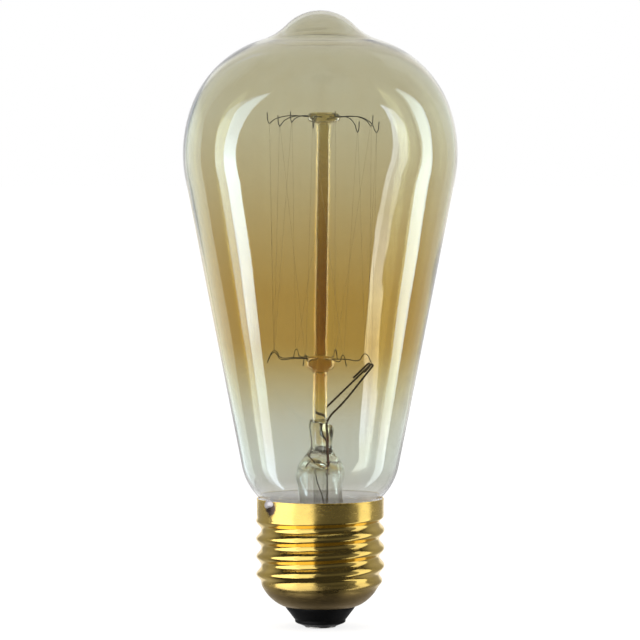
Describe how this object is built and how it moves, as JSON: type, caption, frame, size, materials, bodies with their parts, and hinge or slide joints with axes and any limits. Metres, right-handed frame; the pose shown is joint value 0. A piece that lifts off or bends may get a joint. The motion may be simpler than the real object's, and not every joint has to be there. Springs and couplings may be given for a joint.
{
  "type": "filament lamp",
  "caption": "Pear-shaped glass filament lamp with a drawn tip, a zigzag filament held by fine hooks on a glass rod, and a brass screw cap with a black insulator.",
  "frame": {"origin": "centre of the outer face of the centre contact, on the cap's axis", "axes": "+Z along the lamp's axis from the contact to the tip of the glass; -Y towards the viewer of the picture, +X to the viewer's right"},
  "size_m": [0.056, 0.056, 0.126],
  "materials": {
    "envelope_glass": "clear glass with a light amber tint, glossy",
    "stem_glass": "clear glass, glossy",
    "rod_glass": "clear glass, glossy",
    "hook_wire": "fine drawn wire, dark",
    "filament_wire": "very fine drawn wire, dark grey",
    "lead_wire": "drawn wire, dark",
    "seal_wire": "copper-clad wire with a red-brown oxide",
    "outer_wire": "bare copper wire",
    "cap_brass": "polished brass sheet",
    "cement": "dull brown cement",
    "insulator_glass": "opaque black glass, glossy",
    "contact_metal": "worn plated brass",
    "solder": "bright solder"
  },
  "bodies": {
    "root": {"envelope": "envelope_glass", "stem": "stem_glass", "exhaust_tube": "stem_glass", "arbor_rod": "rod_glass", "upper_button": "rod_glass", "lower_button": "rod_glass", "upper_hook_1": "hook_wire", "upper_hook_2": "hook_wire", "upper_hook_3": "hook_wire", "upper_hook_4": "hook_wire", "upper_hook_5": "hook_wire", "upper_hook_6": "hook_wire", "upper_hook_7": "hook_wire", "upper_hook_8": "hook_wire", "lower_hook_1": "hook_wire", "lower_hook_2": "hook_wire", "lower_hook_3": "hook_wire", "lower_hook_4": "hook_wire", "lower_hook_5": "hook_wire", "lower_hook_6": "hook_wire", "lower_hook_7": "hook_wire", "filament": "filament_wire", "lead_front": "lead_wire", "lead_rear": "lead_wire", "seal_wire_front": "seal_wire", "seal_wire_rear": "seal_wire", "side_wire": "outer_wire", "centre_wire": "outer_wire", "cap_shell": "cap_brass", "capping_cement": "cement", "insulator": "insulator_glass", "centre_contact": "contact_metal", "centre_solder": "solder", "side_solder": "solder"}
  },
  "joints": []
}
